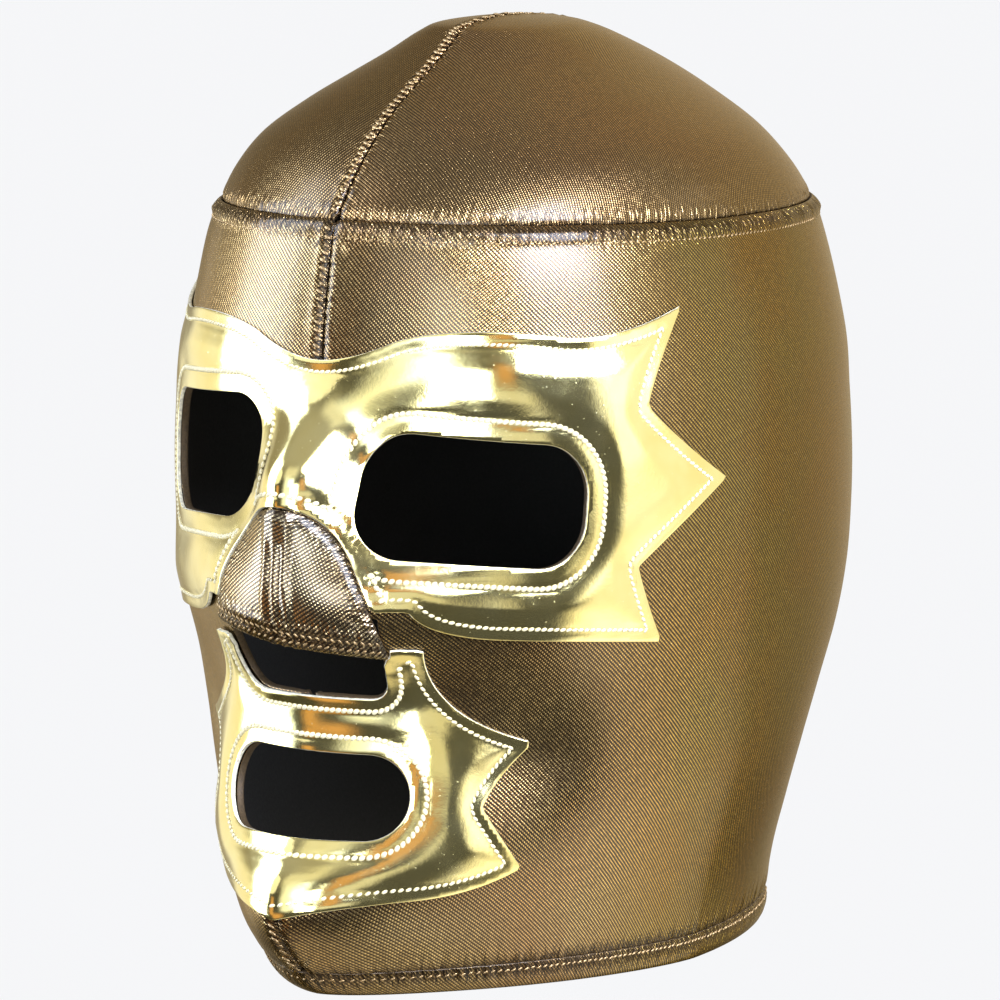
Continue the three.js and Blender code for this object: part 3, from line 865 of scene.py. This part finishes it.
# the vinyl's cut edge: a pale backing colour that is also a painted highlight along the edge
vinylEdgeAndHighlight = makePlain("vinylCutEdgeAndHighlight", vinyl["cutEdgeAndHighlight"], 0.4, 900, 0.05)
lining = makePlain("blackLining", (0.006, 0.006, 0.006, 1), 0.8, 1200, 0.2)
clothEdge = makePlain("clothEdge", (0.1, 0.065, 0.03, 1), 0.6, 1500, 0.2, 0.4)
creamThread = makePlain("creamThread", (0.8, 0.72, 0.46, 1), 0.45, 2500, 0.08)
bronzeThread = makePlain("bronzeThread", (0.52, 0.36, 0.18, 1), 0.4, 900, 0.2, 0.8)
print("materials made")

# Side panels: one each side, sewn to the crown along the fold and to each other on the middle line
sides = {
    "cell": 1.45, "top": 40.0, "edge": 0.35,
    "foldHigh": 1.1, "foldEnds": (2.8, 4.3), "dipDown": 1.9, "stitchDown": 4.3,
    "turnedEdge": (-1.1, 0, 1.2), "allowance": (-0.4, 0, 0.7), "foldGathers": (0.26, 2.6, 0.4, 0, 2.0),
    "middleSeam": (-0.9, 0, 1.1), "middleRidge": (0.25, 2.6, 1.4), "middleGathers": (0.34, 2.6, 1.1, 1.4, 1.8),
    "hemEdge": (-0.4, 0, 1.6), "hemGathers": (0.22, 5.2, 2.2, 1.5, 3.5),
    "sag": 0.35, "sagAcross": 31, "sagDown": 27,
}
hem = {
    "tall": 7.0, "proud": 0.5, "cell": 1.3, "stitchDown": 1.6, "edge": 0.5, "edgeSteps": 3,
    "foldEdge": (-0.9, 0, 1.3), "sewnEdge": (-0.9, 0, 1.0), "row": (-0.4, 0, 0.7),
    "gathers": (0.16, 4.3, 2.2, 0, 2.6),
}


# across, down, the way under the crown seam, off the middle seams and above the hem
def sidePlaces(flat):
    x, down = flat[:, 0], -flat[:, 1]
    middle = np.minimum(np.abs(x), halfRound - np.abs(x))
    return x, down, -aboveSeam(fromPattern, flat), middle, form["maskTall"] - hem["tall"] - down


def sideLift(flat):
    x, down, under, middle, low = sidePlaces(flat)
    lift = sides["foldHigh"] * (1 - easeIn(under, *sides["foldEnds"]))
    lift += ridge(under, sides["turnedEdge"])
    lift += ridge(under - sides["dipDown"], sides["allowance"])
    lift += gathers(x, under - sides["dipDown"], sides["foldGathers"])
    lift += ridge(middle, sides["middleSeam"])
    lift += ridge(middle, sides["middleRidge"])
    lift += gathers(down, middle, sides["middleGathers"])
    lift += ridge(low, sides["hemEdge"])
    lift += gathers(x, low, sides["hemGathers"])
    sag = sides["sag"] * np.sin(x / sides["sagAcross"] + down / sides["sagDown"])
    return lift + sag * easeIn(under, 8, 30) * easeIn(low, 5, 30)


def sideSeams(flat):
    x, down, under, middle, low = sidePlaces(flat)
    return nearestSeam((x, under - sides["dipDown"]), (down, middle), (x, low))


def makeSide(side, word, cloth):
    lap = form["seamLap"]
    low = form["maskTall"] - hem["tall"] + lap
    start, end = (0, halfRound) if side > 0 else (-halfRound, 0)
    bm = flatSheet((start - 2, -low - 2), (end + 2, -sides["top"]), sides["cell"])

    def room(flat):
        x = flat[:, 0] * side
        edges = [-aboveSeam(fromPattern, flat) + lap, low + flat[:, 1], x + lap, halfRound + lap - x]
        holes = outsideAll(flat, [noseWindow, breathHole, mouthHole, eyeHoles[0 if side > 0 else 1]])
        return np.minimum(np.min(edges, axis=0), holes)

    materials = [cloth, lining, clothEdge]
    makeWalled("side" + word, "side_" + word.lower(), bm, sides, room, sideLift, sideSeams, materials)


makeSide(1, "Left", sideLeftCloth)
makeSide(-1, "Right", sideRightCloth)
print("sides made")

# Crown: two panels with a seam from the brow to the back
crown = {
    "cell": 1.5, "reach": 112.0, "edge": 0.35,
    "seam": (-1.3, 0, 0.9), "seamRidge": (0.2, 2.4, 1.3), "seamGathers": (0.3, 3.3, 0.7, 1.7, 1.8),
    "rim": (-0.8, 0, 1.1), "rimGathers": (0.12, 3.7, 1.9, 1.2, 2.0),
    "swell": 0.35, "swellAcross": 23, "swellAlong": 29,
}


def roundDisc(flat):
    return np.arctan2(flat[:, 0], -flat[:, 1]) * form["patternRadius"]


def crownLift(flat):
    x, y = flat[:, 0], flat[:, 1]
    over = aboveSeam(fromDisc, flat)
    lift = ridge(np.abs(x), crown["seam"]) + ridge(np.abs(x), crown["seamRidge"])
    lift += gathers(y, np.abs(x), crown["seamGathers"])
    lift += ridge(over, crown["rim"])
    lift += gathers(roundDisc(flat), over, crown["rimGathers"])
    swell = crown["swell"] * np.sin(x / crown["swellAcross"] + 0.4) * np.sin(y / crown["swellAlong"])
    return lift + swell * easeIn(over, 3, 20)


def crownSeams(flat):
    return nearestSeam((roundDisc(flat), aboveSeam(fromDisc, flat)), (flat[:, 1], np.abs(flat[:, 0])))


def makeCrown(side, word, cloth):
    reach = crown["reach"]
    low, high = ((-2, -reach), (reach, reach)) if side > 0 else ((-reach, -reach), (2, reach))
    bm = flatSheet(low, high, crown["cell"])

    def room(flat):
        return np.minimum(aboveSeam(fromDisc, flat), flat[:, 0] * side) + form["seamLap"]

    materials, replaced = [cloth, lining, clothEdge], "crown_" + word.lower()
    makeWalled("crown" + word, replaced, bm, crown, room, crownLift, crownSeams, materials, place=fromDisc)


makeCrown(1, "Left", crownLeftCloth)
makeCrown(-1, "Right", crownRightCloth)
print("crown made")

# Vinyl panels, sewn down a little way inside each edge, so they puff up between the rows of stitches
panel = {
    "cell": 1.2, "wall": 1.0, "edge": 0.2, "stitchIn": 3.0, "eyeStitch": 5.0, "mouthStitch": 4.0, "noseStitch": 3.4,
    "groove": (-0.3, 0, 0.7), "puff": 0.55, "puffReach": 7, "wave": 0.07, "waveReach": 6,
}


def vinylLift(flat, shape, holes):
    room = inside(flat, shape) - panel["stitchIn"]
    lift = np.full(len(flat), form["layGap"] + panel["wall"]) + ridge(room, panel["groove"])
    for outline, gap in holes:
        away = -inside(flat, outline) - gap
        lift += ridge(away, panel["groove"])
        room = np.minimum(room, away)
    lift += panel["puff"] * easeIn(room, 0, panel["puffReach"])
    x, down = flat[:, 0], -flat[:, 1]
    wave = np.sin(x / 6.1 + down / 15) + np.sin(down / 5.3 - x / 17 + 1.2) + np.sin((x + down) / 9.7 + 0.5)
    return lift + panel["wave"] * wave * easeIn(room, 0, panel["waveReach"])


# Each panel's outline, and the openings it is sewn round with how far off them
noseRow = (nosePiece, panel["noseStitch"])
eyeRows = [(hole, panel["eyeStitch"]) for hole in eyeHoles] + [noseRow]
mouthRows = [(mouthHole, panel["mouthStitch"]), (breathHole, panel["noseStitch"]), noseRow]


def makePanel(name, shape, rows, replaced):
    holes = [noseRoom] + [outline for outline, _ in rows[:-1]]
    makeWalled(
        name, replaced, sheetOver(shape, 2, panel["cell"]), panel,
        lambda flat: np.minimum(inside(flat, shape), outsideAll(flat, holes)),
        lambda flat: vinylLift(flat, shape, rows), None, [vinylGold, lining, vinylEdgeAndHighlight], wall=panel["wall"],
    )


makePanel("eyePanel", eyePanelShape, eyeRows, "eye_panel")
makePanel("mouthPanel", mouthPanelShape, mouthRows, "mouth_panel")
print("vinyl made")

# Nose piece: pleats down the middle and a turned hem over the breathing hole
nosePleats = {
    "cell": 0.7, "edge": 0.3, "count": 3, "pitch": 2.8, "wide": 1.7, "proud": 0.8, "overHem": 0.35,
    "hemTall": 6.5, "hemHigh": 0.35, "hemRow": (-0.35, 3.575, 0.8), "hemFold": (-0.6, 0, 0.8),
    "rim": (-0.9, 0, 1.1), "gathers": (0.12, 2.9, 0.9, 1.5, 2.0), "seamsUp": (2.2, 4.6), "noRim": 9,
}


def noseHemAt(x):
    return nose["hemDown"] + eye["skew"] * x / nose["halfWide"]


# across, down, the way above the hem's fold and off the sewn rim
def nosePlaces(flat):
    x, down = flat[:, 0], -flat[:, 1]
    fold = noseHemAt(x) - down
    return x, down, fold, np.where(fold > 1.5, inside(flat, nosePiece), nosePleats["noRim"])


def noseLift(flat):
    p = nosePleats
    x, down, fold, rim = nosePlaces(flat)
    lift = np.full(len(flat), form["layGap"] + nose["wall"])
    spread = 0.6 + 0.4 * easeIn(down, nose["top"], nose["hemDown"])
    body = easeIn(fold, p["hemTall"] - 0.5, p["hemTall"] + 1.5)
    for i in range(p["count"]):
        off = np.abs(x - (i - (p["count"] - 1) / 2) * p["pitch"] * spread)
        pleat = 1 - easeIn(off, p["wide"] * 0.25, p["wide"] * 0.62)
        lift += p["proud"] * pleat * (p["overHem"] + (1 - p["overHem"]) * body)
    lift += p["hemHigh"] * (1 - easeIn(fold, p["hemTall"] - 0.4, p["hemTall"] + 0.5))
    lift += ridge(fold, p["hemRow"])
    lift += ridge(fold, p["hemFold"])
    lift += ridge(rim, p["rim"])
    return lift + gathers(down + np.abs(x), rim, p["gathers"])


def noseSeams(flat):
    x, down, fold, rim = nosePlaces(flat)
    return nearestSeam((down, rim), *((x, fold - up) for up in nosePleats["seamsUp"]))


makeWalled(
    "noseCover", "nose_cover", sheetOver(nosePiece, 1, nosePleats["cell"]), nosePleats,
    lambda flat: inside(flat, nosePiece), noseLift, noseSeams, [noseCloth, lining, clothEdge], wall=nose["wall"],
)
print("nose made")


# Neck hem: the cloth turned up inside and sewn
def hemLift(flat):
    rise = form["maskTall"] + flat[:, 1]
    under = hem["tall"] - rise
    lift = hem["proud"] + ridge(rise, hem["foldEdge"]) + ridge(under, hem["sewnEdge"])
    lift += ridge(under - hem["stitchDown"], hem["row"])
    return lift + gathers(flat[:, 0], under - hem["stitchDown"], hem["gathers"])


def hemSeams(flat):
    x, under = flat[:, 0], hem["tall"] - form["maskTall"] - flat[:, 1]
    return nearestSeam((x, under), (x, under - hem["stitchDown"]))


hemTop = form["maskTall"] - hem["tall"] - form["seamLap"]
hemSheet = flatSheet((-halfRound, -form["maskTall"]), (halfRound, -hemTop), hem["cell"])
makeWalled(
    "neckHem", "neck_hem", hemSheet, hem, None, hemLift, hemSeams, [hemCloth, hemCloth, clothEdge],
    wall=form["clothWall"] + 2 * hem["proud"],
)

# Back closure: a flap with a round top over the slit at the back
closure = {
    "wide": 26.0, "tall": 125.0, "wall": 1.5, "cell": 1.8, "edge": 0.35, "aboveHem": 1, "stitchIn": 2.6,
    "rim": (-0.5, 0, 0.8), "row": (-0.35, 0, 0.8), "gathers": (0.1, 5.1, 0.3, 0, 2.5),
}


def closureOutline():
    half, low = closure["wide"] / 2, form["maskTall"] - hem["tall"] - closure["aboveHem"]
    left, right, top = halfRound - half, halfRound + half, low - closure["tall"]
    arch = [(halfRound + half * math.cos(a), top + half * (1 - math.sin(a))) for a in np.linspace(0, math.pi, 30)]
    return np.concatenate([bend((left, low), (right, low)), bend((right, low), (right, top + half)), arch])


closureShape = closureOutline()


def closureLift(flat):
    edge = inside(flat, closureShape)
    row = edge - closure["stitchIn"]
    lift = form["layGap"] + closure["wall"] + (ridge(edge, closure["rim"]) + ridge(row, closure["row"]))
    return lift + gathers(flat[:, 1], row, closure["gathers"])


def closureSeams(flat):
    return nearestSeam((flat[:, 1], inside(flat, closureShape) - closure["stitchIn"]))


makeWalled(
    "backClosure", "back_closure", sheetOver(closureShape, 2, closure["cell"]), closure,
    lambda flat: inside(flat, closureShape), closureLift, closureSeams, [flapCloth, lining, clothEdge],
    wall=closure["wall"],
)
print("hem and closure made")

# Stitches: small beads of thread along the patterns. Lean is in degrees, the rest in millimetres.
def stitchOf(pitch, long, wide, high, lean):
    return {"pitch": pitch, "long": long, "wide": wide, "high": high, "lean": lean}


edgeStitch = stitchOf(1.7, 1.75, 0.95, 0.75, 20.0)
holeStitch = stitchOf(1.6, 1.95, 1.35, 1.0, 30.0)
clothStitch = stitchOf(2.3, 1.6, 0.6, 0.45, 30.0)
gatherStitch = stitchOf(1.9, 2.6, 0.9, 0.6, 66.0)
noseRows = ((2.2, 38.0), (4.2, -38.0))  # the way above the hem's fold, and the lean
sewing = {"vinylUp": 0.12, "clothUp": 0.05, "noseUp": 0.1, "besideSeam": -1.4, "crownHalf": 105}


def evenly(points, pitch, closed):
    ring = np.concatenate([points, points[:1]]) if closed else points
    steps = np.concatenate([[0], np.cumsum(np.linalg.norm(np.diff(ring, axis=0), axis=1))])
    count = max(2, round(steps[-1] / pitch))
    marks = np.linspace(0, steps[-1], count, endpoint=not closed)
    return np.stack([np.interp(marks, steps, ring[:, k]) for k in (0, 1)], 1)


insetStep, insetSlack = 0.8, 0.12


# An outline moved inwards, and which of its places are clear of its other side. Outlines have down, so flip them here.
def inset(outline, gap):
    flip = (1, -1)
    fine = evenly(outline, insetStep, True)
    edge = np.roll(fine, -1, 0) - np.roll(fine, 1, 0)
    out = np.stack([-edge[:, 1], edge[:, 0]], 1) / np.maximum(np.linalg.norm(edge, axis=1), 1e-6)[:, None]
    if inside((fine + out * 0.5) * flip, outline).mean() < 0:
        out = -out
    moved = fine + out * gap
    off = np.abs(inside(moved * flip, outline))
    return moved[np.abs(off - abs(gap)) < insetSlack]


def newBead():
    bm = bmesh.new()
    bmesh.ops.create_uvsphere(bm, u_segments=8, v_segments=5, radius=1)
    return meshFrom("bead", bm)


bead = newBead()


# Adds one bead of thread for each stitch along a row.
def sew(bm, place, points, spec, lift, allowed=None, closed=True):
    flat = evenly(points, spec["pitch"], closed) * (1, -1)
    if allowed is not None:
        flat = flat[allowed(flat)]
    if len(flat) < 2:
        return
    spot, normal = skinAndNormal(place, flat)
    ahead = np.roll(flat, -1, 0) - np.roll(flat, 1, 0)
    if not closed:
        ahead[0], ahead[-1] = flat[1] - flat[0], flat[-1] - flat[-2]
    ahead /= np.maximum(np.linalg.norm(ahead, axis=1), 1e-6)[:, None]
    along = place(flat + ahead * 0.5) - place(flat - ahead * 0.5)
    for p, n, a, h in zip(spot, normal, along, lift(flat)):
        n, a = Vector(n), Vector(a).normalized()
        a.rotate(Matrix.Rotation(math.radians(spec["lean"]), 3, n))
        b = n.cross(a)
        where = (Vector(p) + n * h) * millimetre
        matrix = Matrix((a * spec["long"] / 2, b * spec["wide"] / 2, n * spec["high"] / 2)).transposed()
        matrix = Matrix.Translation(where) @ (matrix * millimetre).to_4x4()
        one = bead.copy()
        one.transform(matrix)
        bm.from_mesh(one)
        bpy.data.meshes.remove(one)


def sewPanel(bm, shape, rows):
    def lift(flat):
        return vinylLift(flat, shape, rows) + sewing["vinylUp"]

    def clear(flat, own=None):
        good = inside(flat, shape) > 1.6
        for outline, gap in rows:
            if outline is not own:
                good &= -inside(flat, outline) > gap - 0.4
        return good

    sew(bm, fromPattern, inset(shape, panel["stitchIn"]), edgeStitch, lift, clear)
    for outline, gap in rows:
        sew(bm, fromPattern, inset(outline, -gap), holeStitch, lift, lambda flat: clear(flat, outline))


def sewVinyl():
    bm = bmesh.new()
    sewPanel(bm, eyePanelShape, eyeRows)
    sewPanel(bm, mouthPanelShape, mouthRows)
    return bm


addPiece("vinylStitches", sewVinyl(), [creamThread])
print("vinyl sewn")


def clearOfPanels(flat):
    panels = [eyePanelShape, mouthPanelShape, nosePiece, closureShape, breathHole, mouthHole]
    return (outsideAll(flat, panels) > 1.0) & (-aboveSeam(fromPattern, flat) > 1.2)


# A row up and down the pattern at one place across it
def upright(across, low, high, count):
    y = np.linspace(low, high, count)
    return np.stack([np.full_like(y, across), y], 1)


def sewCloth():
    bm, up = bmesh.new(), sewing["clothUp"]
    across = np.linspace(-halfRound, halfRound, 400, endpoint=False)
    down = np.full_like(across, form["crownTall"])
    for _ in range(4):  # finds the way down to the crown seam
        down = down + aboveSeam(fromPattern, np.stack([across, -down], 1))
    ring = np.stack([across, down + sides["stitchDown"]], 1)
    sew(bm, fromPattern, ring, clothStitch, lambda flat: sideLift(flat) + up, closed=False)
    low = form["maskTall"] - hem["tall"]
    ring = np.stack([across, np.full_like(across, low + hem["stitchDown"])], 1)
    sew(bm, fromPattern, ring, clothStitch, lambda flat: hemLift(flat) + up, closed=False)
    # cross stitches that gather the middle seams into small puckers
    beside, half = sewing["besideSeam"], sewing["crownHalf"]
    row = upright(beside, -half, half, 160)
    sew(bm, fromDisc, row, gatherStitch, crownLift, lambda flat: aboveSeam(fromDisc, flat) > 1.2, False)
    for middle in (0, halfRound):
        row = upright(middle + beside, form["crownTall"] - 4, low - 1, 200)
        sew(bm, fromPattern, row, gatherStitch, sideLift, clearOfPanels, False)
    x = np.linspace(-nose["halfWide"] + 2, nose["halfWide"] - 2, 40)
    for rise, lean in noseRows:
        row = np.stack([x, noseHemAt(x) - rise], 1)
        spec = dict(clothStitch, pitch=1.5, long=1.5, lean=lean)
        sew(bm, fromPattern, row, spec, lambda flat: noseLift(flat) + sewing["noseUp"], closed=False)
    row = inset(closureShape, closure["stitchIn"])
    sew(bm, fromPattern, row, clothStitch, lambda flat: closureLift(flat) + up)
    return bm


addPiece("clothStitches", sewCloth(), [bronzeThread])
print("cloth sewn")


# A wide pale floor, well under the hem because the mask is held up from inside
floor = {"drop": 0.16, "half": 12.0, "colour": (0.05, 0.05, 0.05, 1), "glow": 0.83}


def addFloor():
    bm = bmesh.new()
    bmesh.ops.create_grid(bm, x_segments=4, y_segments=4, size=floor["half"])
    bmesh.ops.translate(bm, vec=(0, 0, floorZ * millimetre - floor["drop"]), verts=bm.verts)
    mesh = meshFrom("floor", bm)
    material, tree, shader = newMaterial("paleFloor")
    dress(tree, shader, {
        "Base Color": floor["colour"], "Roughness": 1.0, "Specular IOR Level": 0.0,
        "Emission Color": (1, 1, 1, 1), "Emission Strength": floor["glow"],
    })
    mesh.materials.append(material)
    ground = bpy.data.objects.new("floor", mesh)
    ground.visible_glossy = False
    bpy.context.collection.objects.link(ground)


addFloor()

# Studio: soft boxes all round, seen only in what shines. azimuth, elevation, half width, half height in degrees
studio = {
    "base": (0.036, 0.032, 0.014, 1),
    "top": (0.42, 0.4, 0.36, 1),
    "seen": (0.93, 0.93, 0.93, 1),
    "boxes": [
        (180, 25, 60, 45, 18, (0.66, 0.57, 0.41, 1)),
        (-112, 22, 34, 34, 14, (0.3, 0.265, 0.2, 1)),
        (-100, -10, 22, 16, 8, (1.1, 1.05, 0.9, 1)),
        (0, -84, 180, 26, 8, (0.9, 0.8, 0.6, 1)),
        (112, 2, 31, 26, 8, (1.15, 1.07, 0.9, 1)),
        (114, -40, 36, 18, 9, (1.8, 1.7, 1.45, 1)),
        (86, 0, 11, 9, 5, (2.0, 1.97, 1.85, 1)),
        (4, 38, 22, 12, 8, (0.9, 0.88, 0.8, 1)),
        (0, 14, 9, 16, 8, (1.3, 1.36, 1.42, 1)),
        (13, 15, 8, 9, 5, (2.6, 2.9, 3.4, 1)),
        (44, -6, 10, 8, 4, (0.8, 0.77, 0.68, 1)),
        (23, 0, 9, 12, 3, (9.0, 9.5, 10.0, 1)),
        (41, 12, 5, 9, 3, (0.7, 0.34, 0.08, 1)),
        (-33, -4, 5, 12, 3, (0.8, 0.4, 0.1, 1)),
        (-20, -25, 14, 14, 8, (0.8, 0.4, 0.12, 1)),
        (-66, 12, 17, 34, 5, (6.6, 7.5, 9.2, 1)),
        (66, 32, 15, 20, 3, (20.0, 22.0, 28.0, 1)),
    ],
}


# 1 within half of the middle, fading over soft on both sides of that edge
def within(tree, off, half, soft):
    return ramp(tree, off, math.radians(half - soft), math.radians(half + soft), 1.0, 0.0)


def addStudio():
    world = bpy.data.worlds.new("studio")
    bpy.context.scene.world = world
    world.use_nodes = True
    tree = world.node_tree
    tree.nodes.clear()
    way = node(tree, "TexCoord").outputs["Generated"]
    height = splitOf(tree, way)[2]
    colour = mixColours(tree, ramp(tree, height, 0.25, 0.95), studio["base"], studio["top"])
    lift = maths(tree, "ARCSINE", maths(tree, "MINIMUM", maths(tree, "MAXIMUM", height, -1.0), 1.0))
    for azimuth, elevation, wide, tall, soft, tint in studio["boxes"]:
        x, y, _ = turnedBy(tree, way, -math.radians(azimuth))
        aside = maths(tree, "ABSOLUTE", maths(tree, "ARCTAN2", x, times(tree, y, -1.0)))
        rise = maths(tree, "ABSOLUTE", maths(tree, "SUBTRACT", lift, math.radians(elevation)))
        inBox = times(tree, within(tree, aside, wide, soft), within(tree, rise, tall, soft))
        colour = mixColours(tree, inBox, colour, tint)
    lit, plain = node(tree, "Background"), node(tree, "Background")
    wire(tree, colour, lit.inputs["Color"])
    plain.inputs["Color"].default_value = studio["seen"]
    both = node(tree, "MixShader")
    wire(tree, node(tree, "LightPath").outputs["Is Camera Ray"], both.inputs[0])
    wire(tree, lit.outputs[0], both.inputs[1])
    wire(tree, plain.outputs[0], both.inputs[2])
    wire(tree, both.outputs[0], node(tree, "OutputWorld").inputs[0])


addStudio()


def addLight(name, azimuth, elevation, distance, size, watts, colour):
    data = bpy.data.lights.new(name, "AREA")
    data.shape = "DISK"
    data.size = size
    data.energy = watts
    data.color = colour
    lamp = bpy.data.objects.new(name, data)
    way = directionOf(azimuth, elevation)
    lamp.location = Vector(camera["target"]) + way * distance
    lamp.rotation_euler = way.to_track_quat("Z", "Y").to_euler()
    bpy.context.collection.objects.link(lamp)


addLight("keyLight", 50, 42, 2.2, 0.9, 9, (1, 0.98, 0.95))
addLight("fillLight", -40, 25, 2.4, 1.2, 4, (1, 0.99, 0.97))
print("studio made")
